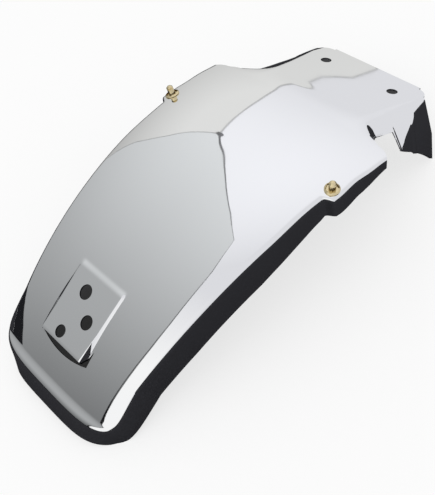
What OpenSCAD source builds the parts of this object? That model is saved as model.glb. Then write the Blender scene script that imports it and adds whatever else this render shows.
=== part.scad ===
// Motorcycle rear fender, one chromed steel pressing with two side bolts and nuts.
// Millimetres. +X is the front (the mounting platform), +Y is left, +Z is up.
// The origin lies on the floor, midway under the part as it stands on its edges.
// The wheel centre is the centre of the crown's arc; stations are angles about it,
// counted from the top of the wheel and positive towards the tail.

/* [Crown] */
// radius of the crown line over the wheel
crown_r = 331.5; // [280:0.5:400]
// how much the crown line rises from the tail to the front
crown_rise = 2.5; // [0:0.1:10]
// angle of the last crown line at the tail
tail_angle = 51.2; // [40:0.1:65]
// angle of the front edge, ahead of the top
front_angle = 22.3; // [15:0.1:30]
// half width at the tail
half_w_tail = 74.8; // [60:0.1:100]
// half width in the middle
half_w_mid = 95.5; // [70:0.1:120]
// half width at the front notch
half_w_front = 106; // [75:0.1:130]
// how far the crown falls to its edge at the tail
fall_tail = 6.7; // [5:0.1:30]
// how far the crown falls to its edge in the middle
fall_mid = 10.2; // [5:0.1:30]
// how far the crown falls to its edge at the notch
fall_front = 5; // [5:0.1:30]
// exponent of the crown's section, larger is flatter in the middle
crown_power = 2.8; // [2:0.1:5]

/* [Sheet] */
// sheet thickness
sheet = 1.5; // [1:0.1:3]
// thickness at the folded hem
hem = 3; // [1.5:0.1:5]
// outside radius of the bend from crown to skirt
bend_r = 4; // [3:0.5:12]
// skirt height at the tail corners
skirt_tail = 29; // [10:0.5:50]
// skirt height in the middle
skirt_mid = 32; // [10:0.5:50]
// skirt height where it ends at the notch
skirt_end = 9; // [4:0.5:30]

/* [Tail] */
// length of the rounded end past the last full station
tail_len = 48; // [30:1:70]
// exponent of the tail's rounded outline
tail_power = 5.5; // [2.2:0.1:9]
// depth of the shelf beyond the last crown line
shelf = 10; // [4:0.5:25]
// outward slope of the shelf against the crown's own line
shelf_kick = 0.36; // [0:0.02:0.8]
// height of the skirt across the tail
tail_skirt = 22; // [8:0.5:35]
// outward angle of the tail skirt from straight down
tail_lean = 8; // [-20:1:40]

/* [Platform] */
// where the flat platform starts, forward of the wheel centre
plat_x = 62.8; // [40:0.1:90]
// height of the platform there, above the wheel centre
plat_z = 327.9; // [300:0.1:340]
// forward fall of the platform
plat_pitch = 9.3; // [0:0.1:20]
// half of the flat width of the platform where it starts
plat_half = 55; // [45:0.5:75]
// how much wider each side of the flat is at the front
plat_grow = 8; // [0:0.5:15]
// distance between the two platform holes
plat_hole_gap = 80; // [60:0.5:110]
// how far the holes lie from the platform's start
plat_hole_x = 42; // [20:0.5:60]
// diameter of the platform holes
plat_hole_d = 10; // [6:0.1:14]

/* [Notch and leg] */
// half width at the notch's upper edge
notch_half = 84; // [70:0.5:100]
// half width on the ridge between tab and leg
ridge_half = 76.5; // [70:0.5:100]
// angle of that ridge ahead of the top
ridge_angle = 15.9; // [12:0.1:18]
// height of the tab at the ridge
tab_h = 27; // [10:0.5:45]
// how much the leg grows for each degree forward of the ridge
leg_grow = 3.5; // [0:0.02:6]
// outward flare of the leg at its front edge
leg_flare = 22; // [0:0.5:30]

/* [Lamp pad] */
// tilt of the pad plane, from the wheel centre
pad_tilt = 37; // [30:0.1:60]
// distance of the pad plane from the wheel centre
pad_r = 332.6; // [320:0.1:360]
// half width of the pad
pad_half = 26.5; // [20:0.5:45]
// top of the pad, measured up its plane
pad_up = 8; // [0:0.5:60]
// bottom of the pad, measured down its plane
pad_down = 53; // [15:0.5:80]
// width of the side and top slopes
pad_ramp = 6; // [3:0.5:15]
// width of the sheared opening under the pad
slot_w = 7.5; // [3:0.5:14]
// half distance between the two columns of lamp holes
lamp_half = 9.2; // [5:0.1:20]
// shift of the lamp holes to the right of the pad's middle
lamp_off = 2.1; // [0:0.1:5]
// diameter of the upper lamp hole
lamp_d1 = 13; // [5:0.1:18]
// diameter of the wire hole
lamp_d2 = 12.5; // [5:0.1:18]
// diameter of the lower lamp hole
lamp_d3 = 11; // [5:0.1:18]

/* [Side fixings] */
// angle of the side fixing, back from the top
fix_angle = 5.8; // [0:0.1:20]
// half distance between the fixings, across
fix_half = 99; // [80:0.5:120]
// outward step of the side just behind the fixing
boss_out = 7.2; // [0:0.1:15]
// diameter of the side holes
fix_hole_d = 6.6; // [5:0.1:10]
// thread diameter of the side bolts
bolt_d = 6; // [4:0.5:8]
// flange diameter of the nuts
nut_flange = 13; // [10:0.5:20]

/* [Choice] */
// which node to draw

/* [Hidden] */
$fn = 48;
D2R = PI / 180;
rest_tilt = 13.886;
rest_up = -231.996;
rest_back = 8.301;
span = tail_angle + 8;
a_tail = crown_r * tail_angle * D2R;
a_join = -(a_tail + shelf - tail_len);
a_front = crown_r * front_angle * D2R;
inset = 14;

// Small helpers

function sm(x) = let (c = min(max(x, 0), 1)) c * c * (3 - 2 * c);
function mix(p, q, s) = p + (q - p) * s;
function q3(t, p, q, r) = p * (1 - t) * (1 - 2 * t) + 4 * q * t * (1 - t) + r * t * (2 * t - 1);
function unit(v) = v / max(norm(v), 1e-9);
function back(f) = min((tail_angle + f) / span, 1);

// Widths, heights and flares along the fender, f is the angle ahead of the top

function w_body(f) = q3(back(f), half_w_tail, half_w_mid, half_w_front);
function boss(f) = -2 * sm((f + 18) / 9) + boss_out * sm((f + fix_angle + 2.1) / 1.1)
    - 2.5 * sm((f + 6) / 4.5) - 1.5 * sm(f / 4);
function w1(f) = mix(w_body(f) + boss(f), notch_half, sm((f - 4.7) / 1.2));
function w2(f) = mix(w1(f), notch_half - 4, sm((f - 6.5) / 2));
function w3(f) = mix(mix(w2(f), ridge_half - 2, sm((f - 8.5) / 3.5)), ridge_half, sm((f - 12.5) / 3));
function w_leg(f) = 68.5 - (f - 16.5) * 5 / 5.8;
function width(f) = mix(w3(f), w_leg(f), sm((f - ridge_angle + 0.1) / 1));
function fall(f) = q3(back(f), fall_tail, fall_mid, fall_front);
function skirt_body(f) = lookup(f, [[-51.2, skirt_tail], [-36, skirt_mid], [-21.6, skirt_mid - 1],
    [-12, 24.6], [-8.6, 21], [-7, 17.5], [-6, 18], [-3.6, 17.5], [-1.2, 15.7], [1.3, 11.9],
    [3.9, skirt_end]]);
function skirt(f) =
    f > ridge_angle ? tab_h + 4 * sm((f - ridge_angle) / 0.8) + leg_grow * (f - ridge_angle)
    : f > 12 ? mix(5, tab_h, (f - 12) / (ridge_angle - 12))
    : mix(skirt_body(f), 5, sm((f - 4.7) / 1.2));
function flare(f) = lookup(f, [[11, 0], [15.9, -1], [16.7, 7.5], [18, 9], [20, 15], [22.3, leg_flare]]);

// Crown surface: a is the arc length ahead of the top, b is across

function tan_plat() = tan(plat_pitch);
function r_plat(f) = (plat_z + tan_plat() * plat_x) / (cos(f) + tan_plat() * sin(f));
function r_pad(f) = pad_r / cos(-f - pad_tilt);
function pad_s(f) = pad_r * tan(-f - pad_tilt);
function pad_on(f, b) = f > -20 ? 0
    : let (s = pad_s(f))
        sm((s + pad_up + pad_ramp) / pad_ramp)
        * (1 - sm((abs(b) - pad_half) / pad_ramp))
        * (1 - sm((s - pad_down + 0.5) / 3.5));
function kick(a) = let (k = max(-a - a_tail, 0)) shelf_kick * (k - 2 * (1 - exp(-k / 2)));
function shoulder(f) = lookup(f, [[0, 0.06], [8, 0.078], [10, 0.12], [12, 0.17], [17, 0.17], [22.3, 0.1]]);
function flat_half(f) = plat_half + plat_grow * sm((f - 9) / 13);
function r_body(a, b, f) = crown_r + crown_rise * sm((f + 40) / 40)
    - fall(f) * pow(abs(b) / w_body(f), crown_power) + kick(a);
function r_flat(b, f) = r_plat(f) - shoulder(f) * pow(max(abs(b) - flat_half(f), 0), 1.5);
function r_mix(a, b, f) = mix(r_body(a, b, f), r_flat(b, f), sm((f - 4.5) / 5.6));
function r_all(a, b) = let (f = a / crown_r / D2R, r = r_mix(a, b, f)) mix(r, r_pad(f), pad_on(f, b));
function at(a, b, r) = let (f = a / crown_r / D2R) [r * sin(f), b, r * cos(f)];
function crown(a, b) = at(a, b, r_all(a, b));
function crown_n(a, b) = unit(cross(crown(a + 0.4, b) - crown(a - 0.4, b),
    crown(a, b + 0.4) - crown(a, b - 0.4)));

// Outline of the sheet: stations down one side, columns across the tail, then the other side

function steps(p, q, n) = [for (i = [0 : n - 1]) mix(p, q, i / n)];
stations = concat(
    steps(front_angle, 17, 5), steps(17, 15.7, 3), steps(15.7, 12, 4), steps(12, 4.4, 9),
    steps(4.4, -1.5, 4), steps(-1.5, -6.6, 4), steps(-6.6, -8, 4), steps(-8, -33.6, 13),
    steps(-33.6, -36, 3), steps(-36, -46, 5));
join_w = width(a_join / crown_r / D2R);
corner_n = 6;
corner_k = pow(0.5, 1 / tail_power);
function corner_pt(i) = let (p = 45 * i / corner_n, k = pow(pow(cos(p), tail_power)
    + pow(sin(p), tail_power), -1 / tail_power)) [a_join - tail_len * k * sin(p), join_w * k * cos(p)];
half_cols = [0, 9, 18, 26, 29, 32];
outer_cols = 4;
function col(j, edge) = j < 6 ? half_cols[j] : mix(32, edge, (j - 5) / outer_cols);
half_n = 5 + outer_cols;
across_n = 2 * half_n;
corner_b = join_w * corner_k;
function tail_pt(b) = [a_join - tail_len * pow(1 - pow(abs(b) / join_w, tail_power), 1 / tail_power), b];
side_a = concat([for (f = stations) [f * crown_r * D2R, width(f), 0]],
    [for (i = [0 : corner_n]) let (p = corner_pt(i)) [p[0], p[1], i / corner_n]]);
side_n = len(side_a) - 1;
ring_n = 2 * side_n + across_n;

// A point of the outline with its inward direction and the tail share 0 to 1

function tail_in(a, b) = a >= a_join ? [0, b > 0 ? -1 : 1]
    : let (x = (a_join - a) / tail_len, y = abs(b) / join_w,
        g = [pow(x, tail_power - 1) / tail_len, -sign(b) * pow(y, tail_power - 1) / join_w]) unit(g);
function out_pt(v) =
    v <= side_n ? let (s = side_a[v]) [s[0], -s[1], s[2] / 2]
    : v >= side_n + across_n ? let (s = side_a[ring_n - v]) [s[0], s[1], s[2] / 2]
    : let (j = v - side_n - half_n, b = sign(j) * col(abs(j), corner_b), p = tail_pt(b))
        [p[0], b, 1 - 0.5 * pow(abs(b) / corner_b, 3)];
function ring_w(v) = out_pt(v)[2];

// Section rows from inside the crown to the bottom of the skirt

rows_on = [inset, 9, bend_r];
rows_bend = 3;
rows_skirt = 3;
row_n = len(rows_on) + rows_bend + rows_skirt;
function in_ab(v, e) = let (p = out_pt(v), d = tail_in(p[0], p[1])) [p[0] + e * d[0], p[1] + e * d[1]];
function pull(v) = let (p = out_pt(v), f = p[0] / crown_r / D2R,
    g = mix(f, tail_lean, sm(ring_w(v)))) [-sin(g), 0, -cos(g)];
function drop_h(v) = let (p = out_pt(v), f = p[0] / crown_r / D2R)
    mix(skirt(max(f, -tail_angle)), tail_skirt, sm(ring_w(v)));
function edge_pt(v) = let (p = out_pt(v)) crown(p[0], p[1]);
function foot(v, t) = let (p = out_pt(v), f = p[0] / crown_r / D2R)
    edge_pt(v) + pull(v) * drop_h(v) * t + [0, sign(p[1]) * flare(f) * t, 0];
function bend_t(v) = min(bend_r / drop_h(v), 0.5);
function bez(p, q, r, t) = p * (1 - t) * (1 - t) + q * 2 * t * (1 - t) + r * t * t;
function row_pt(k, v) =
    k < 3 ? let (c = in_ab(v, rows_on[k])) crown(c[0], c[1])
    : k < 3 + rows_bend ? let (c = in_ab(v, bend_r))
        bez(crown(c[0], c[1]), edge_pt(v), foot(v, bend_t(v)), (k - 2) / rows_bend)
    : foot(v, mix(bend_t(v), 1, (k - 2 - rows_bend) / rows_skirt));
ring = [for (k = [0 : row_n - 1]) [for (v = [0 : ring_n]) row_pt(k, v)]];
function ring_nrm(k, v) = k < 3
    ? let (c = in_ab(v, rows_on[k])) crown_n(c[0], c[1])
    : unit(cross(ring[k][min(v + 1, ring_n)] - ring[k][max(v - 1, 0)],
        ring[min(k + 1, row_n - 1)][v] - ring[k - 1][v]));
function thick(k) = k >= row_n - 2 ? hem : sheet;
ring_in = [for (k = [0 : row_n - 1]) [for (v = [0 : ring_n]) ring[k][v] - thick(k) * ring_nrm(k, v)]];

// Inner field of the crown, rows i along and columns j across

function side_in(i) = in_ab(i, inset);
function tail_row(j) = in_ab(side_n + j, inset);
function fade(i) = sm((i - side_n + 12) / 12);
function fld(i, j) = let (s = side_in(i), e = abs(s[1]), k = j - half_n, t = tail_row(j),
    b0 = sign(k) * col(abs(k), e), q = fade(i), c = side_in(side_n))
    [s[0] + (t[0] - c[0]) * q, mix(b0, t[1], q)];
field = [for (i = [0 : side_n - 1]) [for (j = [1 : across_n - 1]) let (p = fld(i, j)) crown(p[0], p[1])]];
field_in = [for (i = [0 : side_n - 1]) [for (j = [1 : across_n - 1]) let (p = fld(i, j))
    crown(p[0], p[1]) - sheet * crown_n(p[0], p[1])]];

// Numbering of the points and the faces of the closed sheet

ring_sz = row_n * (ring_n + 1);
field_sz = side_n * (across_n - 1);
half_sz = ring_sz + field_sz;
function r_id(k, v) = k * (ring_n + 1) + v;
function f_id(i, j) =
    j == 0 ? r_id(0, i)
    : j == across_n ? r_id(0, ring_n - i)
    : i == side_n ? r_id(0, side_n + j)
    : ring_sz + i * (across_n - 1) + j - 1;
function flip(q, s) = s < 0 ? q : [q[3], q[2], q[1], q[0]];
function quad(q, off, s) = let (p = flip([for (x = q) x + off], s)) [[p[0], p[1], p[2]], [p[0], p[2], p[3]]];
skin_quads = concat(
    [for (k = [0 : row_n - 2]) for (v = [0 : ring_n - 1])
        [r_id(k, v), r_id(k, v + 1), r_id(k + 1, v + 1), r_id(k + 1, v)]],
    [for (i = [0 : side_n - 1]) for (j = [0 : across_n - 1])
        [f_id(i, j), f_id(i, j + 1), f_id(i + 1, j + 1), f_id(i + 1, j)]]);
rim = concat([for (k = [row_n - 1 : -1 : 1]) r_id(k, 0)], [for (j = [0 : across_n]) f_id(0, j)],
    [for (k = [1 : row_n - 1]) r_id(k, ring_n)], [for (v = [ring_n - 1 : -1 : 1]) r_id(row_n - 1, v)]);
skin_faces = concat(
    [for (q = skin_quads) each quad(q, 0, 1)],
    [for (q = skin_quads) each quad(q, half_sz, -1)],
    [for (i = [0 : len(rim) - 1]) let (p = rim[i], q = rim[(i + 1) % len(rim)])
        each quad([p, p + half_sz, q + half_sz, q], 0, 1)]);
skin_points = concat([for (r = ring) each r], [for (r = field) each r],
    [for (r = ring_in) each r], [for (r = field_in) each r]);

module sheet_skin() {
    polyhedron(points = skin_points, faces = skin_faces, convexity = 8);
}

// Places the arc frame so that the part stands on its tail and its two legs

module stand() {
    translate([rest_back, 0, rest_up])
        rotate([0, rest_tilt, 0])
            children();
}

// Holes

module platform_holes() {
    for (s = [-1, 1])
        translate([plat_x, s * plat_hole_gap / 2, plat_z])
            rotate([0, plat_pitch, 0])
                translate([plat_hole_x, 0, -12])
                    cylinder(d = plat_hole_d, h = 24);
}

module on_pad(s, y) {
    rotate([0, -pad_tilt, 0])
        translate([-s, y, pad_r])
            children();
}

module lamp_holes() {
    on_pad(7, lamp_half - lamp_off)
        translate([0, 0, -10])
            cylinder(d = lamp_d1, h = 20);
    on_pad(25.3, -lamp_half - lamp_off)
        translate([0, 0, -10])
            cylinder(d = lamp_d2, h = 20);
    on_pad(44.8, lamp_half - lamp_off)
        translate([0, 0, -10])
            cylinder(d = lamp_d3, h = 20);
}

// Sheared opening round the pad's lower end, a bowed strip with two upturned horns

module slot_shape() {
    difference() {
        intersection() {
            translate([-pad_down - slot_w + 62, 0])
                circle(r = 62, $fn = 96);
            translate([-pad_down - slot_w, -pad_half - 5])
                square([slot_w + 15, 2 * pad_half + 10]);
        }
        polygon([[-pad_down - 1.6, 0], [-pad_down - 1.6, -pad_half + 2], [-pad_down + 0.5, -pad_half - 0.5],
            [-pad_down + 7, -pad_half - 3], [-pad_down + 14, -pad_half - 5.1], [0, 0],
            [-pad_down + 14, pad_half + 5.1], [-pad_down + 7, pad_half + 3],
            [-pad_down + 0.5, pad_half + 0.5], [-pad_down - 1.6, pad_half - 2]]);
    }
}

module lamp_slot() {
    rotate([0, -pad_tilt, 0])
        translate([0, 0, pad_r - 14])
            linear_extrude(height = 28)
                slot_shape();
}

module notch_cut() {
    for (s = [-1, 1])
        scale([1, s, 1])
            translate([0, 0, 250])
                linear_extrude(height = 120)
                    polygon([[16, 140], [22.5, 106], [27.5, 101], [30.5, 94], [34.6, 85.4], [34.6, 140]]);
}

// Rounded front corners of the platform, carried down as the leg's front edge

module corner_cut() {
    for (s = [-1, 1])
        scale([1, s, 1])
            translate([0, 0, 220])
                linear_extrude(height = 140)
                    polygon(concat([for (t = [0 : 10 : 70]) [114 + 13.5 * cos(t), 51 + 13.5 * sin(t)]],
                        [[117.5, 66], [117.5, 120], [150, 120], [150, 51]]));
}

function fix_a() = -fix_angle * D2R * crown_r;
function fix_p(s) = crown(fix_a(), s * fix_half);
function fix_n(s) = crown_n(fix_a(), s * fix_half);
module at_fixing(s) {
    n = fix_n(s);
    translate(fix_p(s))
        rotate([0, acos(n[2]), atan2(n[1], n[0])])
            children();
}

module fixing_holes() {
    for (s = [-1, 1])
        at_fixing(s)
            translate([0, 0, -12])
                cylinder(d = fix_hole_d, h = 24);
}

// The pressing: one sheet with its openings

module fender() {
    color("silver")
        stand()
            difference() {
                sheet_skin();
                platform_holes();
                lamp_holes();
                lamp_slot();
                notch_cut();
                corner_cut();
                fixing_holes();
            }
}

// Side bolts: head inside, plain shank through the sheet, domed end outside

module side_bolt() {
    translate([0, 0, -sheet - 0.35 - 1.6])
        cylinder(d = 11, h = 1.6);
    translate([0, 0, -sheet - 0.35 - 5.2])
        cylinder(d = 10 / cos(30), h = 3.8, $fn = 6);
    rotate_extrude()
        polygon([[0, -3], [bolt_d / 2, -3], [bolt_d / 2, 7.4], [bolt_d / 2 - 0.9, 8.6], [0, 9.1]]);
}

module side_bolts() {
    color("gold")
        stand()
            for (s = [-1, 1])
                at_fixing(s)
                    side_bolt();
}

// Flange nuts outside, one on each bolt

module side_nut() {
    difference() {
        union() {
            rotate_extrude()
                polygon([[0, 0.08], [nut_flange / 2, 0.08], [nut_flange / 2, 0.9],
                    [nut_flange / 2 - 1.8, 2.1], [0, 2.1]]);
            intersection() {
                cylinder(d = 10 / cos(30), h = 6, $fn = 6);
                rotate_extrude()
                    polygon([[0, 0.1], [6, 0.1], [6, 4.9], [5, 6], [0, 6]]);
            }
        }
        translate([0, 0, -1])
            cylinder(d = bolt_d + 0.2, h = 10);
        translate([0, 0, 5.2])
            cylinder(d1 = bolt_d + 0.2, d2 = bolt_d + 1.8, h = 0.81);
    }
}

module side_nuts() {
    color("gold")
        stand()
            for (s = [-1, 1])
                at_fixing(s)
                    side_nut();
}

fender();
side_bolts();
side_nuts();
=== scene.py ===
"""Dresses the motorcycle rear fender: a chromed steel pressing with its side nuts and bolts.

Laid out as an add-on, run as a script. Lengths are metres in the scene and millimetres in the
surface functions, which work in the wheel's own frame and are turned to the resting pose last.
"""

import math

import bmesh
import bpy
import numpy as np
from bpy.props import FloatProperty, FloatVectorProperty, IntProperty, PointerProperty
from bpy.types import Operator, Panel, PropertyGroup
from mathutils import Euler, Matrix, Vector


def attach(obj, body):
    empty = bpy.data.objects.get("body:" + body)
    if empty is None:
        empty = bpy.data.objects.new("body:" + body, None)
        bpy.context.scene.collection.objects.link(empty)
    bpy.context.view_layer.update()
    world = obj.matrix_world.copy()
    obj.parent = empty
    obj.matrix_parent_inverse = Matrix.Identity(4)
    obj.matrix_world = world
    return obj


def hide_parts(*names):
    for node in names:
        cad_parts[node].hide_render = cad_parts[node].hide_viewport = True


bl_info = {
    "name": "Rear Fender",
    "version": (1, 0, 0),
    "blender": (4, 5, 0),
    "location": "View3D > Sidebar > Fender",
    "description": "Builds a chromed motorcycle rear fender with its fixings and its stage",
    "category": "Add Mesh",
}

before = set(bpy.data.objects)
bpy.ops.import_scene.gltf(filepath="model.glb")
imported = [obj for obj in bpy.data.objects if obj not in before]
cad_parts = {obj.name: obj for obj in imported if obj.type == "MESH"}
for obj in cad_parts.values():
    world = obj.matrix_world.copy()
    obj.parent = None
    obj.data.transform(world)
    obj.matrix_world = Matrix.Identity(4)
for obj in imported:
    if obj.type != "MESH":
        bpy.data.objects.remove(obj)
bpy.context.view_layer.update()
MM = 0.001
DEG = math.pi / 180

# Driving sizes of the pressing in millimetres and degrees

CROWN_R = 331.5
CROWN_RISE = 2.5
TAIL_ANGLE = 51.2
SPAN = TAIL_ANGLE + 8
A_TAIL = CROWN_R * TAIL_ANGLE * DEG
CROWN_POWER = 2.8
SHEET = 1.5
HEM = 3.0
BEND_R = 4.0
TAIL_LEN = 48.0
TAIL_POWER = 6.5
A_JOIN = -(A_TAIL + 10 - TAIL_LEN)
TAIL_SKIRT = 21.3
TAIL_LEAN = 8.0
INSET = 9.0
IN_ROWS = (INSET, 8.2, 7.4, 6.6, 5.9, 5.2, 4.6)
FRONT_ANGLE = 22.3
NOTCH_ANGLE = 4.7
NOTCH_HALF = 83.0
FOLD_HALF = 66.0
LEG_ANGLE = 15.9
LEG_HALF = 68.5
LEG_HALF_AT = 16.5
LEG_TAPER = 5 / 5.8
BOSS_OUT = 7.2
KICK = 0.36
PLAT = (62.8, 327.9, 9.3)
PAD_TILT = 37.0
PAD_R = 332.6
PAD_HALF = 26.5
PAD_DOWN = 53.0
PAD_RAMPS = (2.5, 6.0)
LAMP_HOLES = ((7, 7.1, 13), (25.3, -11.3, 12.5), (44.8, 7.1, 11))
PLAT_HOLE = (42.0, 40.0, 10.0)
SIDE_HOLE = 6.6
FIX_ANGLE = 5.8
FIX_HALF = 99.0
REST_TILT = 13.886
REST_SHIFT = np.array([8.301, 0.0, -231.996])


# Rows of points along the side: angle from, angle to, how many

STATIONS = ((22.3, 17, 26), (17, 15.6, 14), (15.6, 12.4, 16), (12.4, 11.6, 12), (11.6, 4.2, 30),
            (4.2, -1.5, 14), (-1.5, -6.6, 16), (-6.6, -8.2, 16), (-8.2, -33.5, 66),
            (-33.5, -36.2, 14), (-36.2, -46, 34))


# Small helpers for the surface


def ease(x):
    c = np.clip(x, 0, 1)
    return c * c * (3 - 2 * c)


def mix(p, q, s):
    return p + (q - p) * s


def through(t, p, q, r):
    return p * (1 - t) * (1 - 2 * t) + 4 * q * t * (1 - t) + r * t * (2 * t - 1)


def unit(v):
    return v / np.maximum(np.linalg.norm(v, axis=-1, keepdims=True), 1e-9)


def back(f):
    return np.minimum((TAIL_ANGLE + f) / SPAN, 1)


# Width, fall, skirt and flare along the fender; f is the angle ahead of the wheel's top


def body_width(f):
    return through(back(f), 74.8, 95.5, 106)


def side_step(f):
    """The side's outline steps out behind the fixing and tapers again towards the notch."""
    out = BOSS_OUT * ease((f + FIX_ANGLE + 2.1) / 1.1)
    return out - 2 * ease((f + 18) / 9) - 2.5 * ease((f + 6) / 4.5) - 1.5 * ease(f / 4)


def width(f):
    w = mix(body_width(f) + side_step(f), NOTCH_HALF, ease(f - NOTCH_ANGLE))
    w = mix(w, FOLD_HALF, ease((f - 5) / 3))
    leg = LEG_HALF - (f - LEG_HALF_AT) * LEG_TAPER
    return mix(w, leg, ease(f - LEG_ANGLE + 0.1))


def fall(f):
    return through(back(f), 6.7, 10.2, 5)


SKIRT_AT = [-51.2, -36, -21.6, -12, -8.6, -7, -6, -3.6, -1.2, 1.3, 3.9]
SKIRT_H = [29, 32, 31, 24.6, 21, 17.5, 18, 17.5, 15.7, 11.9, 9]


# From the fixing forward the side is a leaning face above a ridge and a steeper face below it
FOLD_AT = [NOTCH_ANGLE, 5.5, 7.5, 11.75, 11.95, 12.3, 16, 17, FRONT_ANGLE]
FOLD_UP = [4.5, 5, 9.5, 10.5, 23, 24, 10, 2, 1]
FOLD_LOW = [4.5, 0.6, 0.6, 0.6, 0.6, 0.6, 23, 32, 52]
FOLD_OUT = [0, 3, 8.5, 9, 20, 20.5, 9.5, 3, 0]
FOLD_FOOT = [0, 2, 7, 8.5, 20, 20.5, 19, 17, 22]


def skirt(f):
    """Heights of the upper and the lower face of the side."""
    body = np.interp(f, SKIRT_AT, SKIRT_H) / 2
    front = f > FOLD_AT[0]
    return (np.where(front, np.interp(f, FOLD_AT, FOLD_UP), body),
            np.where(front, np.interp(f, FOLD_AT, FOLD_LOW), body))


def flare(f):
    """How far the ridge and the foot stand out from the crown's edge."""
    return np.interp(f, FOLD_AT, FOLD_OUT), np.interp(f, FOLD_AT, FOLD_FOOT)


# The crown's height over the wheel; a is the arc length ahead of the top, b is across


def platform_r(f):
    """The radius at which the platform's flat plane stands."""
    slope = math.tan(PLAT[2] * DEG)
    return (PLAT[1] + slope * PLAT[0]) / (np.cos(f * DEG) + slope * np.sin(f * DEG))


def pad_r(f):
    """The radius at which the lamp pad's flat plane stands."""
    return PAD_R / np.cos((-f - PAD_TILT) * DEG)


def pad_on(f, b):
    """1 on the lamp pad, 0 off it, with ramps between."""
    s = PAD_R * np.tan((-f - PAD_TILT) * DEG)
    ramp = np.where(b < 0, PAD_RAMPS[0], PAD_RAMPS[1])
    lift = ease((s + 14) / 6) * (1 - ease((np.abs(b) - PAD_HALF) / ramp))
    return np.where(f > -20, 0, lift * (1 - ease((s - PAD_DOWN + 0.5) / 3.5)))


def kick(a):
    """The turned-up shelf behind the tail's crease."""
    k = np.maximum(-a - A_TAIL, 0)
    return KICK * (k - 2 * (1 - np.exp(-k / 2)))


def shoulder(f):
    """How fast the platform's sides roll down."""
    return np.interp(f, [0, 8, 12, LEG_ANGLE, 17, FRONT_ANGLE], [0.03, 0.04, 0.06, 0.12, 0.17, 0.1])


def crown_r(a, b):
    f = a / CROWN_R / DEG
    body = CROWN_R + CROWN_RISE * ease((f + 40) / 40) + kick(a)
    body = body - fall(f) * (np.abs(b) / body_width(f)) ** CROWN_POWER
    flat_half = 55 + 8 * ease((f - 9) / 13)
    flat = platform_r(f) - shoulder(f) * np.maximum(np.abs(b) - flat_half, 0) ** 1.5
    r = mix(body, flat, ease((f - 4.5) / 5.6))
    return mix(r, pad_r(f), pad_on(f, b))


def crown(a, b):
    a, b = np.broadcast_arrays(np.asarray(a, float), np.asarray(b, float))
    r = crown_r(a, b)
    return np.stack([r * np.sin(a / CROWN_R), b, r * np.cos(a / CROWN_R)], -1)


def crown_n(a, b, h=0.3):
    a, b = np.asarray(a, float), np.asarray(b, float)
    return unit(np.cross(crown(a + h, b) - crown(a - h, b), crown(a, b + h) - crown(a, b - h)))


def stand(points):
    """Turns points of the wheel's frame to the resting pose, in metres."""
    c, s = math.cos(REST_TILT * DEG), math.sin(REST_TILT * DEG)
    turn = np.array([[c, 0, s], [0, 1, 0], [-s, 0, c]])
    return (np.asarray(points) @ turn.T + REST_SHIFT) * MM


# The sheet: an outline that runs down one side, across the tail and up the other


def steps(parts):
    return np.concatenate([np.linspace(p, q, n, endpoint=False) for p, q, n in parts])


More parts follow.
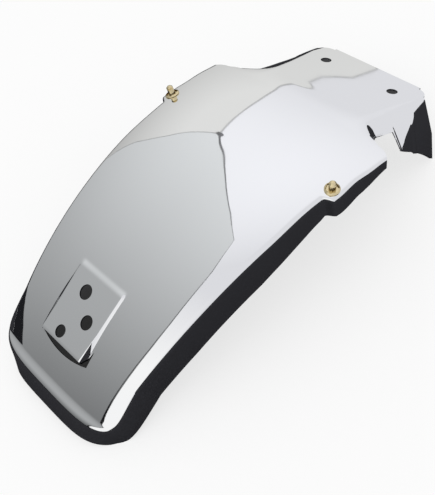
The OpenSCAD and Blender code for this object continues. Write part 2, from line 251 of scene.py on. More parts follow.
class Sheet:
    """Points of the pressed sheet, its rim rows and its inner field, on a fine grid."""

    def __init__(self):
        stations = steps(STATIONS)
        stations = stations[stations * CROWN_R * DEG > A_JOIN + 0.8]
        self.join_w = float(width(A_JOIN / CROWN_R / DEG))
        turn = np.linspace(0, 45, 33) * DEG
        reach = (np.cos(turn) ** TAIL_POWER + np.sin(turn) ** TAIL_POWER) ** (-1 / TAIL_POWER)
        corner = np.stack([A_JOIN - TAIL_LEN * reach * np.sin(turn), self.join_w * reach * np.cos(turn),
                           turn / turn[-1]], -1)
        side = np.stack([stations * CROWN_R * DEG, width(stations), 0 * stations], -1)
        side = np.concatenate([side, corner])
        inner, outer = np.arange(0, 20, 2.5), np.concatenate([np.arange(20, 34, 1.0)])
        edge = side[-1, 1]
        cols = np.concatenate([inner, outer])
        share = np.linspace(0, 1, 24)
        self.col = lambda e: np.concatenate([cols, mix(34.0, e, share)])
        self.half = len(cols) + len(share) - 1
        self.side_n = len(side) - 1
        across = self.col(edge)
        tail_b = np.concatenate([-across[:0:-1], across])
        tail_a = A_JOIN - TAIL_LEN * (1 - (np.abs(tail_b) / self.join_w) ** TAIL_POWER) ** (1 / TAIL_POWER)
        tail_w = 1 - 0.5 * (np.abs(tail_b) / edge) ** 3
        self.across_n = len(tail_b) - 1
        right = side[:-1] * [1, -1, 0.5]
        left = side[-2::-1] * [1, 1, 0.5]
        self.line = np.concatenate([right, np.stack([tail_a, tail_b, tail_w], -1), left])
        self.build()

    def inward(self, e):
        """Points a distance e inside the outline."""
        a, b = self.line[:, 0], self.line[:, 1]
        x = np.maximum(A_JOIN - a, 0) / TAIL_LEN
        y = np.abs(b) / self.join_w
        power = TAIL_POWER - 1
        g = np.stack([x ** power / TAIL_LEN, -np.sign(b) * y ** power / self.join_w], -1)
        side = np.stack([0 * a, -np.sign(b)], -1)
        d = np.where((a >= A_JOIN)[:, None], side, unit(g))
        return a + e * d[:, 0], b + e * d[:, 1]

    def build(self):
        a, b, w = self.line.T
        f = a / CROWN_R / DEG
        lean = mix(f, TAIL_LEAN, ease(w)) * DEG
        pull = np.stack([-np.sin(lean), 0 * lean, -np.cos(lean)], -1)
        upper, lower = skirt(np.maximum(f, -TAIL_ANGLE))
        upper, lower = (mix(h, TAIL_SKIRT / 2, ease(w))[:, None] for h in (upper, lower))
        edge = crown(a, b)
        sign = np.stack([0 * f, np.sign(b), 0 * f], -1)
        ridge_out, foot_out = (g[:, None] for g in flare(f))
        ridge = edge + pull * upper + sign * ridge_out
        last = edge + pull * (upper + lower) + sign * foot_out

        def foot(t):
            return np.where(t < 0.5, mix(edge, ridge, 2 * t), mix(ridge, last, 2 * t - 1))

        bend_t = np.minimum(BEND_R / 2 / upper, 0.25)
        rows = [crown(*self.inward(e)) for e in (*IN_ROWS, BEND_R)]
        self.crown_rows = len(rows)
        start = rows[-1]
        for t in np.linspace(0, 1, 13)[1:]:
            rows.append(start * (1 - t) ** 2 + edge * 2 * t * (1 - t) + foot(bend_t) * t * t)
        for t in np.linspace(0, 1, 13)[1:]:
            rows.append(foot(mix(bend_t, 1, t)))
        ring = np.array(rows)
        along = np.gradient(ring, axis=1)
        down = np.gradient(ring, axis=0)
        nrm = unit(np.cross(along, down))
        for k, e in enumerate(IN_ROWS):
            nrm[k] = crown_n(*self.inward(e))
        deep = SHEET + (HEM - SHEET) * ease((np.arange(len(rows)) - len(rows) + 5) / 2.0)
        self.ring = ring
        self.ring_in = ring - nrm * deep[:, None, None]
        n, m = self.side_n, self.across_n
        sa, sb = self.inward(INSET)
        t_a, t_b = sa[n:n + m + 1], sb[n:n + m + 1]
        q = ease((np.arange(n) - n + 40) / 40.0)[:, None]
        b0 = np.array([np.concatenate([-self.col(abs(e))[:0:-1], self.col(abs(e))]) for e in sb[:n]])
        fa = sa[:n, None] + (t_a[None, :] - sa[n]) * q
        fb = mix(b0, t_b[None, :], q)
        self.field = crown(fa, fb)
        self.field_in = self.field - SHEET * crown_n(fa, fb)

    def mesh(self):
        """The closed sheet as points and four-sided faces."""
        rows, line = self.ring.shape[:2]
        n, m = self.side_n, self.across_n
        ring_id = np.arange(rows * line).reshape(rows, line)
        grid = np.zeros((n + 1, m + 1), int)
        grid[:n, 1:m] = rows * line + np.arange(n * (m - 1)).reshape(n, m - 1)
        grid[:n, 0] = ring_id[0, :n]
        grid[:n, m] = ring_id[0, ::-1][:n]
        grid[n] = ring_id[0, n:n + m + 1]
        half = rows * line + n * (m - 1)

        def quads(g):
            return np.stack([g[:-1, :-1], g[:-1, 1:], g[1:, 1:], g[1:, :-1]], -1).reshape(-1, 4)

        skin = np.concatenate([quads(ring_id), quads(grid)])
        rim = np.concatenate([ring_id[:0:-1, 0], grid[0], ring_id[1:, -1], ring_id[-1, -2:0:-1]])
        after = np.roll(rim, -1)
        walls = np.stack([rim, rim + half, after + half, after], -1)
        points = np.concatenate([self.ring.reshape(-1, 3), self.field[:, 1:m].reshape(-1, 3),
                                 self.ring_in.reshape(-1, 3), self.field_in[:, 1:m].reshape(-1, 3)])
        return stand(points), np.concatenate([skin, skin[:, ::-1] + half, walls])


# Mesh helpers


def clear_selection():
    bpy.ops.object.select_all(action="DESELECT")


def use(ob):
    clear_selection()
    ob.select_set(True)
    bpy.context.view_layer.objects.active = ob
    return ob


def added(name):
    """The primitive that was just added, under its own name."""
    ob = bpy.context.view_layer.objects.active
    ob.name = ob.data.name = name
    return ob


def place(ob, matrix):
    """Moves the mesh itself, so that the object stays at the origin."""
    ob.data.transform(matrix @ ob.matrix_basis)
    ob.matrix_basis = Matrix()
    return ob


def apply_modifier(ob, kind, **values):
    use(ob)
    mod = ob.modifiers.new(kind.lower(), kind)
    for key, value in values.items():
        setattr(mod, key, value)
    bpy.ops.object.modifier_apply(modifier=mod.name)


def cut(ob, tool):
    """Takes one closed tool away from ob and deletes the tool."""
    apply_modifier(ob, "BOOLEAN", operation="DIFFERENCE", solver="MANIFOLD", object=tool)
    bpy.data.objects.remove(tool, do_unlink=True)


def join(parts, name):
    clear_selection()
    for part in parts:
        part.select_set(True)
    bpy.context.view_layer.objects.active = parts[0]
    bpy.ops.object.join()
    return added(name)


def smooth(ob, angle):
    use(ob)
    bpy.ops.object.shade_smooth_by_angle(angle=angle * DEG)


REST = Matrix.Translation(Vector(REST_SHIFT * MM)) @ Matrix.Rotation(REST_TILT * DEG, 4, "Y")
PLATFORM = (REST @ Matrix.Translation((PLAT[0] * MM, 0, PLAT[1] * MM))
            @ Matrix.Rotation(PLAT[2] * DEG, 4, "Y"))
PAD = REST @ Matrix.Rotation(-PAD_TILT * DEG, 4, "Y") @ Matrix.Translation((0, 0, PAD_R * MM))


def fixing(side):
    """The frame of one side fixing: origin on the sheet, Z straight out of it."""
    a = -FIX_ANGLE * DEG * CROWN_R
    p, n = crown(a, side * FIX_HALF), crown_n(a, side * FIX_HALF, 0.4)
    turn = Euler((0, math.acos(n[2]), math.atan2(n[1], n[0])), "XYZ").to_matrix().to_4x4()
    return REST @ Matrix.Translation(Vector(p * MM)) @ turn


def drill(name, matrix, x, y, diameter):
    """A round cutter that stands on a face's plane."""
    clear_selection()
    bpy.ops.mesh.primitive_cylinder_add(vertices=64, radius=diameter / 2 * MM, depth=0.03)
    return place(added(name), matrix @ Matrix.Translation((x * MM, y * MM, 0)))


def prism(name, matrix, outline, low, high):
    """A straight-sided cutter on an outline in millimetres."""
    bm = bmesh.new()
    bm.faces.new([bm.verts.new((x * MM, y * MM, low * MM)) for x, y in outline])
    walls = bmesh.ops.extrude_face_region(bm, geom=bm.faces[:])
    tops = [v for v in walls["geom"] if isinstance(v, bmesh.types.BMVert)]
    bmesh.ops.translate(bm, verts=tops, vec=(0, 0, (high - low) * MM))
    bmesh.ops.recalc_face_normals(bm, faces=bm.faces)
    data = bpy.data.meshes.new(name)
    bm.to_mesh(data)
    bm.free()
    ob = bpy.data.objects.new(name, data)
    bpy.context.collection.objects.link(ob)
    return place(ob, matrix)


SLOT_BOW = 90.0
SLOT_DOWN = 59.6
SLOT_HALF = 31.5
SLOT_HORN = [(-39.5, SLOT_HALF), (-46, 29.5), (-52.5, 27), (-54.6, 24.5)]
NOTCH = [(14, 140), (21.2, 106.9), (23.2, 104.8), (26.5, 100), (28.1, 95.2), (28.4, 91.5), (29.4, 88),
         (31.4, 84.6), (33.2, 82.1), (34.1, 140)]
CORNER = (114, 51)
CORNER_R = 13.5


def slot_outline():
    """The opening at the pad's lower end: a bowed strip with two upturned horns."""
    bow = [(SLOT_BOW - SLOT_DOWN - math.sqrt(SLOT_BOW ** 2 - y * y), y)
           for y in np.linspace(-SLOT_HALF, SLOT_HALF, 49)]
    return bow + SLOT_HORN + [(x, -y) for x, y in reversed(SLOT_HORN)]


def notch_tools():
    """Cutters for the notches and the platform's rounded front corners."""
    x, y = CORNER
    arc = [(x + CORNER_R * math.cos(t), y + CORNER_R * math.sin(t)) for t in np.linspace(0, 70, 15) * DEG]
    corner = arc + [(117.5, 66), (117.5, 120), (150, 120), (150, y)]
    tools = []
    for side in (-1, 1):
        for name, line, low, high in (("notch_tool", NOTCH, 250, 370), ("corner_tool", corner, 220, 360)):
            tools.append(prism(name, REST, [(x, side * y) for x, y in line], low, high))
    return tools


# Finishes


def new_group(name, inputs, outputs):
    """An empty node group with named sockets; each input is (name, default)."""
    tree = bpy.data.node_groups.new(name, "ShaderNodeTree")
    for label, value in inputs:
        socket = tree.interface.new_socket(label, in_out="INPUT", socket_type="NodeSocketFloat")
        socket.default_value = value
    for label in outputs:
        tree.interface.new_socket(label, in_out="OUTPUT", socket_type="NodeSocketFloat")
    return tree


def node(tree, kind, at=(0, 0), **values):
    made = tree.nodes.new(kind)
    made.location = at
    for key, value in values.items():
        setattr(made, key, value)
    return made


def math_node(tree, operation, first, second=None, clamp=False):
    made = node(tree, "ShaderNodeMath", operation=operation, use_clamp=clamp)
    for k, value in enumerate((first, second)):
        if value is None:
            continue
        if isinstance(value, (int, float)):
            made.inputs[k].default_value = value
        else:
            tree.links.new(value, made.inputs[k])
    return made.outputs[0]


def polish_group():
    """Faint cloudiness of polished plate: a roughness and a height that change over the surface."""
    inputs = [("Scale", 60.0), ("Low", 0.05), ("High", 0.09)]
    tree = new_group("plate_polish", inputs, ["Roughness", "Height"])
    put = node(tree, "NodeGroupInput", (-800, 0))
    out = node(tree, "NodeGroupOutput", (500, 0))
    coord = node(tree, "ShaderNodeTexCoord", (-800, 250))
    cloud = node(tree, "ShaderNodeTexNoise", (-500, 200))
    cloud.inputs["Detail"].default_value = 3.0
    wave = node(tree, "ShaderNodeTexNoise", (-500, -150))
    wave.inputs["Scale"].default_value = 9.0
    wave.inputs["Detail"].default_value = 0.0
    tree.links.new(coord.outputs["Object"], cloud.inputs["Vector"])
    tree.links.new(coord.outputs["Object"], wave.inputs["Vector"])
    tree.links.new(put.outputs["Scale"], cloud.inputs["Scale"])
    span = node(tree, "ShaderNodeMapRange", (-200, 150))
    span.inputs["From Min"].default_value = 0.35
    span.inputs["From Max"].default_value = 0.7
    tree.links.new(cloud.outputs["Fac"], span.inputs["Value"])
    tree.links.new(put.outputs["Low"], span.inputs["To Min"])
    tree.links.new(put.outputs["High"], span.inputs["To Max"])
    tree.links.new(span.outputs["Result"], out.inputs["Roughness"])
    tree.links.new(wave.outputs["Fac"], out.inputs["Height"])
    return tree


def metal(name, polish, colour, scale, low, high, wave):
    """A plated metal whose roughness and ripples come from the polish group."""
    mat = bpy.data.materials.new(name)
    mat.use_nodes = True
    tree = mat.node_tree
    shader = tree.nodes["Principled BSDF"]
    shader.inputs["Metallic"].default_value = 1.0
    shader.inputs["Base Color"].default_value = (*colour, 1)
    group = node(tree, "ShaderNodeGroup", (-500, 0), node_tree=polish)
    for label, value in (("Scale", scale), ("Low", low), ("High", high)):
        group.inputs[label].default_value = value
    bump = node(tree, "ShaderNodeBump", (-250, -200))
    bump.inputs["Strength"].default_value = 1.0
    bump.inputs["Distance"].default_value = wave
    tree.links.new(group.outputs["Roughness"], shader.inputs["Roughness"])
    tree.links.new(group.outputs["Height"], bump.inputs["Height"])
    tree.links.new(bump.outputs["Normal"], shader.inputs["Normal"])
    return mat


def finish_of(name, maker):
    """A material that is made once and then found by its name."""
    return bpy.data.materials.get(name) or maker()


def chrome():
    look = bpy.context.scene.fender_finish
    polish = bpy.data.node_groups.get("plate_polish") or polish_group()
    return finish_of("bright_chrome", lambda: metal("bright_chrome", polish, look.chrome_colour, 60.0,
                                                    look.chrome_low, look.chrome_high, 0.00002))


def zinc():
    look = bpy.context.scene.fender_finish
    polish = bpy.data.node_groups.get("plate_polish") or polish_group()
    return finish_of("yellow_zinc", lambda: metal("yellow_zinc", polish, look.zinc_colour, 900.0,
                                                  0.22, 0.38, 0.0))


# What a user would change


class FenderFinish(PropertyGroup):
    chrome_colour: FloatVectorProperty(
        name="Chrome colour", description="Tint of the bright chrome plate",
        subtype="COLOR", size=3, min=0, max=1, default=(0.90, 0.905, 0.91))
    chrome_low: FloatProperty(
        name="Clearest polish", description="Roughness of the plate where it is clearest",
        default=0.02, min=0, max=1)
    chrome_high: FloatProperty(
        name="Haziest polish", description="Roughness of the plate where it is haziest",
        default=0.035, min=0, max=1)
    zinc_colour: FloatVectorProperty(
        name="Zinc colour", description="Tint of the yellow zinc on nuts and bolts",
        subtype="COLOR", size=3, min=0, max=1, default=(0.78, 0.66, 0.40))


class FixingSizes(PropertyGroup):
    flange: FloatProperty(
        name="Nut flange", description="Diameter of the nut's flange", unit="LENGTH", default=0.013)
    across: FloatProperty(
        name="Across flats", description="Width of the nut's hexagon", unit="LENGTH", default=0.010)
    height: FloatProperty(
        name="Nut height", description="Height of the nut over the sheet", unit="LENGTH", default=0.006)
    thread: FloatProperty(
        name="Thread", description="Diameter of the bolt", unit="LENGTH", default=0.006)
    turns: IntProperty(
        name="Thread ridges", description="Ridges that show beyond the nut", default=3, min=0)


class StageSizes(PropertyGroup):
    floor: FloatProperty(
        name="Floor", description="Side of the square floor", unit="LENGTH", default=12.0)
    lens: FloatProperty(
        name="Lens", description="Focal length of the camera, in millimetres on a 36 mm sensor",
        default=64.6)
    shadow: FloatProperty(
        name="Shadow", description="Share of the floor's shadow that shows", default=0.3, min=0, max=1)


# The pieces


class FENDER_OT_sheet(Operator):
    """Builds the chromed pressing with its holes, notch, lamp pad and hem"""

    bl_idname = "fender.sheet"
    bl_label = "Fender Sheet"

    def execute(self, context):
        points, faces = Sheet().mesh()
        data = bpy.data.meshes.new("fender_sheet")
        data.from_pydata(points.tolist(), [], faces.tolist())
        data.validate()
        ob = bpy.data.objects.new("fender_sheet", data)
        context.collection.objects.link(ob)
        along, across, wide = PLAT_HOLE
        tools = [drill("platform_drill", PLATFORM, along, s * across, wide) for s in (-1, 1)]
        tools += [drill("lamp_drill", PAD, -s, y, d) for s, y, d in LAMP_HOLES]
        tools += [drill("side_drill", fixing(s), 0, 0, SIDE_HOLE) for s in (-1, 1)]
        tools.append(prism("slot_tool", PAD, slot_outline(), -22, 18))
        tools += notch_tools()
        cut(ob, join(tools, "tools"))
        smooth(ob, 30)
        ob.data.materials.clear()
        ob.data.materials.append(chrome())
        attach(ob, "root")
        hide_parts("fender")
        return {"FINISHED"}


def lathe(name, profile, parts=48):
    """A turned solid from (radius, height) pairs in millimetres, closed on the axis."""
    clear_selection()
    bpy.ops.mesh.primitive_circle_add(vertices=parts, radius=profile[0][0] * MM, fill_type="NGON")
    ob = added(name)
    bm = bmesh.new()
    bm.from_mesh(ob.data)
    bm.faces.ensure_lookup_table()
    face = bm.faces[0]
    bmesh.ops.translate(bm, verts=bm.verts[:], vec=(0, 0, profile[0][1] * MM))
    for (r0, z0), (r1, z1) in zip(profile, profile[1:]):
        grown = bmesh.ops.extrude_face_region(bm, geom=[face])
        face = [g for g in grown["geom"] if isinstance(g, bmesh.types.BMFace)][0]
        for v in face.verts:
            v.co.x *= r1 / r0
            v.co.y *= r1 / r0
            v.co.z = z1 * MM
    low = [v for v in bm.verts if abs(v.co.z - profile[0][1] * MM) < 1e-9]
    if not any(all(v in low for v in f.verts) for f in bm.faces):
        bmesh.ops.contextual_create(bm, geom=low)
    bmesh.ops.recalc_face_normals(bm, faces=bm.faces)
    bm.to_mesh(ob.data)
    bm.free()
    return ob


class FENDER_OT_nuts(Operator):
    """Builds the two flanged nuts on the side fixings"""

    bl_idname = "fender.nuts"
    bl_label = "Side Nuts"

    def execute(self, context):
        size = context.scene.fender_fixings
        rim, flat, top = size.flange / 2 / MM, size.across / 2 / MM, size.height / MM
        made = []
        for side in (-1, 1):
            flange = lathe("flange", [(rim - 0.3, 0.08), (rim, 0.3), (rim, 0.75), (rim - 0.35, 1.0),
                                      (rim - 1.9, 2.1)])
            clear_selection()
            bpy.ops.mesh.primitive_cylinder_add(
                vertices=6, radius=flat / math.cos(math.pi / 6) * MM,
                depth=(top - 0.5) * MM, location=(0, 0, (top + 0.5) / 2 * MM))
            hexagon = place(added("hexagon"), Matrix())
            dome = lathe("dome", [(7, 0.2), (7, top - 1.9), (5.2, top - 0.35), (4.3, top)], 64)
            apply_modifier(hexagon, "BOOLEAN", operation="INTERSECT", solver="EXACT", object=dome)
            bpy.data.objects.remove(dome, do_unlink=True)
            apply_modifier(flange, "BOOLEAN", operation="UNION", solver="EXACT", object=hexagon)
            bpy.data.objects.remove(hexagon, do_unlink=True)
            hole = size.thread / 2 / MM + 0.1
            mouth = hole + 0.8
            cut(flange, lathe("bore", [(hole, -1), (hole, top - 0.8), (mouth, top + 0.01), (mouth, 10)]))
            apply_modifier(flange, "BEVEL", width=0.00018, segments=2, limit_method="ANGLE",
                           angle_limit=28 * DEG)
            made.append(place(flange, fixing(side)))
        ob = join(made, "side_nuts_zinc")
        smooth(ob, 32)
        ob.data.materials.clear()
        ob.data.materials.append(zinc())
        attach(ob, "root")
        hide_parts("side_nuts")
        return {"FINISHED"}


HEAD_GAP = 0.35
THREAD_FROM = 5.7
PITCH = 0.62


class FENDER_OT_bolts(Operator):
    """Builds the two bolts: head and washer face inside, thread end outside"""

    bl_idname = "fender.bolts"
    bl_label = "Side Bolts"

    def execute(self, context):
        size = context.scene.fender_fixings
        r = size.thread / 2 / MM
        under = -SHEET - HEAD_GAP
        made = []
        for side in (-1, 1):
            shank = [(r, under - 1.0), (r, THREAD_FROM - 0.1)]
            for k in range(size.turns):
                z = THREAD_FROM + k * PITCH
                shank += [(r - 0.05, z), (r - 0.42, z + PITCH / 2), (r - 0.05, z + PITCH)]
            shank += [(r - 0.5, 8.1), (r - 1.2, 8.7), (r - 2.2, 9.05)]
            stud = lathe("stud", shank)
            head = lathe("head", [(5.3, under - 1.6), (5.5, under - 1.4), (5.5, under - 0.2), (5.35, under)])
            clear_selection()
            bpy.ops.mesh.primitive_cylinder_add(vertices=6, radius=5 / math.cos(math.pi / 6) * MM,
                                                depth=3.8 * MM, location=(0, 0, (under - 3.3) * MM))
            hexagon = place(added("hexagon"), Matrix())
            for part in (head, hexagon):
                apply_modifier(stud, "BOOLEAN", operation="UNION", solver="EXACT", object=part)
                bpy.data.objects.remove(part, do_unlink=True)
            apply_modifier(stud, "BEVEL", width=0.00015, segments=2, limit_method="ANGLE",
                           angle_limit=40 * DEG)
            made.append(place(stud, fixing(side)))
        ob = join(made, "side_bolts_zinc")
        smooth(ob, 32)
        ob.data.materials.clear()
        ob.data.materials.append(zinc())
        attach(ob, "root")
        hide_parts("side_bolts")
        return {"FINISHED"}


# The stage

# The tent's corner and the two directions square to it, then its seams: angle from the corner and
# turn about it in degrees, and a seam's half width

TENT_POLE = (0.4551, 0.6561, 0.6021)
TENT_UP = (-0.3431, -0.4947, 0.7984)
TENT_SIDE = (0.8217, -0.5699, 0.0)
SEAM_LEFT = [(0, -103), (3, -103), (7, -105), (12, -106), (18, -111.8), (24, -118), (29, -120.5),
             (60, -129), (180, -140)]
SEAM_RIGHT = [(0, 142), (4.5, 142), (11.5, 142.7), (18, 144.1), (25, 146.3), (32, 147.6),
              (34.7, 145.8), (35.7, 143.8), (37.2, 142.8), (60, 140), (180, 140)]
SEAM_DOWN = [(0, -24), (9, -24.5), (17.5, -20.1), (27, -15), (39.3, -11.2), (45, -15.5), (50.7, -19.2),
             (58.5, -26.2), (66, -32.9), (72, -39.3), (77.5, -46.2), (84.4, -55), (100, -72), (180, -120)]
SEAM_HALF = [(0, 0.15), (30, 0.14), (34, 0.07), (42, 0.07), (46, 0.12), (66, 0.35), (84, 0.9),
             (95, 1.6), (180, 2)]
SEAM_DEPTH = (0.45, 0.4, 0.8)
SEAM_BLACK = (0.01, 0.01, 0.012)
ROOM_AND_SHADE_BLACK = (0.012, 0.012, 0.014)

# Each panel: brightness at the middle and its change along X, Y and Z, its limits, its tint
CREAM = ((0.29, 0.486, 0.0, 0.584), (0.45, 0.80), (1.0, 1.0, 0.985))
ASH = ((0.486, 0.412, 0.0, 0.207), (0.12, 0.9), (0.977, 1.0, 1.014))
SNOW = ((0.186, 0.363, 0.363, 0.592), (0.78, 1.0), (0.996, 1.0, 1.04))


def dot(tree, vector, with_vector):
    made = node(tree, "ShaderNodeVectorMath", operation="DOT_PRODUCT")
    tree.links.new(vector, made.inputs[0])
    made.inputs[1].default_value = with_vector
    return made.outputs["Value"]


def curve(tree, value, points, low, high):
    """A straight-segment curve through points (degrees, value) as a node."""
    made = node(tree, "ShaderNodeFloatCurve")
    line = made.mapping.curves[0]
    want = [(x / 180, (y - low) / (high - low)) for x, y in points]
    while len(line.points) < len(want):
        line.points.new(0.5, 0.5)
    for point, (x, y) in zip(line.points, want):
        point.location = (x, y)
        point.handle_type = "VECTOR"
    made.mapping.update()
    tree.links.new(value, made.inputs["Value"])
    return made.outputs["Value"]


def blend_colour(tree, share, first, second):
    made = node(tree, "ShaderNodeMix", data_type="RGBA")
    tree.links.new(share, made.inputs["Factor"])
    for key, value in ((6, first), (7, second)):
        if isinstance(value, tuple):
            made.inputs[key].default_value = (*value, 1)
        else:
            tree.links.new(value, made.inputs[key])
    return made.outputs[2]


def panel_colour(tree, axes, plane, limits, tint):
    """A cloth panel whose brightness changes evenly with the direction it is seen in."""
    tone = math_node(tree, "ADD", math_node(tree, "MULTIPLY", axes[0], plane[1]), plane[0])
    for axis, slope in zip(axes[1:], plane[2:]):
        if slope:
            tone = math_node(tree, "ADD", tone, math_node(tree, "MULTIPLY", axis, slope))
    tone = math_node(tree, "MINIMUM", math_node(tree, "MAXIMUM", tone, limits[0]), limits[1])
    made = node(tree, "ShaderNodeCombineColor")
    for k, share in enumerate(tint):
        tree.links.new(math_node(tree, "MULTIPLY", tone, share), made.inputs[k])
    return made.outputs[0]


def tent_world():
    """A soft cloth tent whose three panels meet at a corner, seen only in the metal."""
    world = bpy.data.worlds.new("cloth_tent")
    world.use_nodes = True
    tree = world.node_tree
    tree.nodes.clear()
    way = node(tree, "ShaderNodeTexCoord").outputs["Generated"]
    along = dot(tree, way, TENT_POLE)
    up = dot(tree, way, TENT_UP)
    side = dot(tree, way, TENT_SIDE)
    polar = math_node(tree, "DIVIDE", math_node(tree, "ARCCOSINE", along), math.pi)
    turn = math_node(tree, "DIVIDE", math_node(tree, "ARCTAN2", side, up), 2 * math.pi)
    turn = math_node(tree, "ADD", turn, 0.5)
    sine = math_node(tree, "SINE", math_node(tree, "MULTIPLY", polar, math.pi))
    lines = []
    for points in (SEAM_LEFT, SEAM_RIGHT, SEAM_DOWN):
        seam = curve(tree, polar, points, -180, 180)
        lines.append(math_node(tree, "SUBTRACT", turn, seam))
    left, right, down = lines
    grey = math_node(tree, "MULTIPLY", math_node(tree, "GREATER_THAN", left, 0),
                     math_node(tree, "LESS_THAN", down, 0))
    white = math_node(tree, "MULTIPLY", math_node(tree, "GREATER_THAN", down, 0),
                      math_node(tree, "LESS_THAN", right, 0))
    split = node(tree, "ShaderNodeSeparateXYZ")
    tree.links.new(way, split.inputs[0])
    x, y, z = split.outputs
    cream, ash, snow = (panel_colour(tree, (x, y, z), *panel) for panel in (CREAM, ASH, SNOW))
    tail = math_node(tree, "SUBTRACT", math_node(tree, "MULTIPLY", x, -2.5), 0.7, clamp=True)
    snow = blend_colour(tree, tail, snow, (1.0, 1.0, 1.0))
    colour = blend_colour(tree, grey, cream, ash)
    colour = blend_colour(tree, white, colour, snow)
    half = math_node(tree, "MULTIPLY", curve(tree, polar, SEAM_HALF, 0, 2), 2)
    seam_dark = None
    for line, depth in zip(lines, SEAM_DEPTH):
        near = math_node(tree, "MULTIPLY", math_node(tree, "ABSOLUTE", line), 360)
        near = math_node(tree, "MULTIPLY", near, sine)
        thin = math_node(tree, "MULTIPLY", math_node(tree, "LESS_THAN", near, half), depth)
        seam_dark = thin if seam_dark is None else math_node(tree, "MAXIMUM", seam_dark, thin)
    deep = math_node(tree, "MULTIPLY", math_node(tree, "GREATER_THAN", seam_dark, 0.7),
                     math_node(tree, "SUBTRACT", math_node(tree, "MULTIPLY", polar, 6), 1.9, clamp=True))
    colour = blend_colour(tree, math_node(tree, "MAXIMUM", seam_dark, deep), colour, SEAM_BLACK)
    rise = math_node(tree, "SUBTRACT", math_node(tree, "MULTIPLY", x, -3.3), 0.8, clamp=True)
    low = math_node(tree, "ADD", math_node(tree, "MULTIPLY", rise, 0.11), 0.01)
    colour = blend_colour(tree, math_node(tree, "LESS_THAN", z, low), colour, ROOM_AND_SHADE_BLACK)
    cloth = node(tree, "ShaderNodeBackground")
    tree.links.new(colour, cloth.inputs["Color"])
    plain = node(tree, "ShaderNodeBackground")
    plain.inputs["Color"].default_value = (1, 1, 1, 1)
    ray = node(tree, "ShaderNodeLightPath")
    both = math_node(tree, "MAXIMUM", ray.outputs["Is Glossy Ray"], ray.outputs["Is Transmission Ray"])
    both_mix = node(tree, "ShaderNodeMixShader")
    tree.links.new(both, both_mix.inputs[0])
    tree.links.new(plain.outputs[0], both_mix.inputs[1])
    tree.links.new(cloth.outputs[0], both_mix.inputs[2])
    out = node(tree, "ShaderNodeOutputWorld")
    tree.links.new(both_mix.outputs[0], out.inputs["Surface"])
    return world


# The painted shade on the floor below the lamp pad and below the platform, in metres: where it starts, is
# full, is still full and ends, along X and then along Y
PAINTED_SHADE = (((-0.190, -0.172, -0.095, -0.060), (-0.020, 0.005, 0.086, 0.102)),
         ((0.120, 0.205, 0.2325, 0.2385), (-0.030, -0.006, 0.096, 0.120)))
PAINTED_SHADE_DEPTH = 0.97
FLOOR_PALE = (0.92, 0.92, 0.92)


def floor_finish(keep):
    """Pale floor that stays white in the picture and keeps part of the shadow, with a painted shade that
    darkens it below the part.
    """
    mat = bpy.data.materials.new("pale_floor")
    mat.use_nodes = True
    tree = mat.node_tree
    shader = tree.nodes["Principled BSDF"]
    shader.inputs["Roughness"].default_value = 0.9
    shader.inputs["Specular IOR Level"].default_value = 0.0
    where = node(tree, "ShaderNodeTexCoord", (-1300, 0)).outputs["Object"]
    split = node(tree, "ShaderNodeSeparateXYZ", (-1100, 0))
    tree.links.new(where, split.inputs[0])
    painted_shade = 0.0
    for spans in PAINTED_SHADE:
        painted_spot = PAINTED_SHADE_DEPTH
        for axis, (start, full, still, end) in zip(split.outputs, spans):
            for low, high in ((start, full), (end, still)):
                fade = node(tree, "ShaderNodeMapRange", (-900, 0), interpolation_type="SMOOTHSTEP")
                fade.inputs["From Min"].default_value = low
                fade.inputs["From Max"].default_value = high
                tree.links.new(axis, fade.inputs["Value"])
                painted_spot = math_node(tree, "MULTIPLY", fade.outputs["Result"], painted_spot)
        painted_shade = math_node(tree, "MAXIMUM", painted_spot, painted_shade)
    clear = math_node(tree, "SUBTRACT", 1.0, painted_shade)
    # Painted shade: the floor's colour goes to black below the lamp pad and the platform.
    floor_with_painted_shade = blend_colour(tree, clear, ROOM_AND_SHADE_BLACK, FLOOR_PALE)
    tree.links.new(floor_with_painted_shade, shader.inputs["Base Color"])
    glow = node(tree, "ShaderNodeEmission", (0, -300))
    ray = node(tree, "ShaderNodeLightPath", (-600, 300))
    seen = math_node(tree, "MAXIMUM", ray.outputs["Is Camera Ray"], ray.outputs["Is Glossy Ray"])
    seen = math_node(tree, "MAXIMUM", seen, ray.outputs["Is Transmission Ray"])
    share = math_node(tree, "MULTIPLY", math_node(tree, "MULTIPLY", seen, clear), 1 - keep)
    mixed = node(tree, "ShaderNodeMixShader", (300, 0))
    tree.links.new(share, mixed.inputs[0])
    tree.links.new(shader.outputs[0], mixed.inputs[1])
    tree.links.new(glow.outputs[0], mixed.inputs[2])
    tree.links.new(mixed.outputs[0], tree.nodes["Material Output"].inputs["Surface"])
    return mat


def dark_card():
    """A dark sheet round the fender's foot that only its polished sides show."""
    clear_selection()
    bpy.ops.mesh.primitive_plane_add(size=1, location=(0, 0, 0.0004))
    card = place(added("dark_card"), Matrix.Diagonal((CARD_SIDE, CARD_SIDE, 1, 1)))
    mat = bpy.data.materials.new("card_felt")
    mat.use_nodes = True
    shader = mat.node_tree.nodes["Principled BSDF"]
    shader.inputs["Base Color"].default_value = (0.03, 0.03, 0.034, 1)
    shader.inputs["Roughness"].default_value = 1.0
    shader.inputs["Specular IOR Level"].default_value = 0.0
    card.data.materials.append(mat)
    card.visible_camera = card.visible_diffuse = card.visible_shadow = False
    card.visible_transmission = False
    return card


CARD_SIDE = 11.0
CAMERA_AXES = ((0.753, -0.652, -0.083), (0.489, 0.472, 0.734), (-0.440, -0.593, 0.675))
CAMERA_AT = (-0.4222, -0.4684, 0.7606)


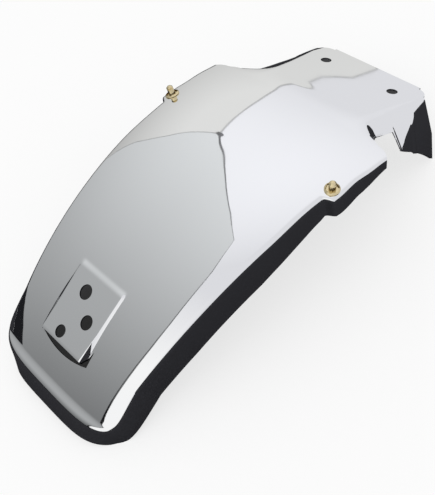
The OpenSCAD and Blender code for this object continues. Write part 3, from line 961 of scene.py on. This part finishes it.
class FENDER_OT_stage(Operator):
    """Builds the floor, the cloth tent and the camera"""

    bl_idname = "fender.stage"
    bl_label = "Stage"

    def execute(self, context):
        size = context.scene.fender_stage
        clear_selection()
        bpy.ops.mesh.primitive_plane_add(size=size.floor, location=(0, 0, 0))
        floor = place(added("pale_floor"), Matrix())
        floor.data.materials.append(floor_finish(size.shadow))
        dark_card()
        scene = context.scene
        scene.world = tent_world()
        scene.view_settings.view_transform = "Standard"
        data = bpy.data.cameras.new("photo_camera")
        data.lens = size.lens
        data.sensor_width = 36.0
        camera = bpy.data.objects.new("photo_camera", data)
        scene.collection.objects.link(camera)
        tilt = Matrix.Rotation(REST_TILT * DEG, 3, "Y")
        right, up, behind = (Vector(v).normalized() for v in CAMERA_AXES)
        axes = Matrix([tilt @ right, tilt @ up, tilt @ behind]).transposed().to_4x4()
        where = REST @ Vector(CAMERA_AT)
        camera.matrix_world = Matrix.Translation(where) @ axes
        scene.camera = camera
        return {"FINISHED"}


class FENDER_PT_panel(Panel):
    """Lists the pieces of the fender and what can be changed"""

    bl_label = "Rear Fender"
    bl_space_type = "VIEW_3D"
    bl_region_type = "UI"
    bl_category = "Fender"

    def draw(self, context):
        for kind in BUILD:
            self.layout.operator(kind.bl_idname)
        for group in (context.scene.fender_finish, context.scene.fender_fixings, context.scene.fender_stage):
            box = self.layout.box()
            for key in type(group).__annotations__:
                box.prop(group, key)


GROUPS = (("fender_finish", FenderFinish), ("fender_fixings", FixingSizes), ("fender_stage", StageSizes))
BUILD = (FENDER_OT_sheet, FENDER_OT_nuts, FENDER_OT_bolts, FENDER_OT_stage)


def register():
    for key, kind in GROUPS:
        bpy.utils.register_class(kind)
        setattr(bpy.types.Scene, key, PointerProperty(type=kind))
    for kind in (*BUILD, FENDER_PT_panel):
        bpy.utils.register_class(kind)


def unregister():
    for kind in (FENDER_PT_panel, *reversed(BUILD)):
        bpy.utils.unregister_class(kind)
    for key, kind in reversed(GROUPS):
        delattr(bpy.types.Scene, key)
        bpy.utils.unregister_class(kind)


def main():
    register()
    bpy.ops.fender.sheet()
    bpy.ops.fender.nuts()
    bpy.ops.fender.bolts()
    bpy.ops.fender.stage()
    bpy.context.view_layer.update()


if __name__ == "__main__":
    main()
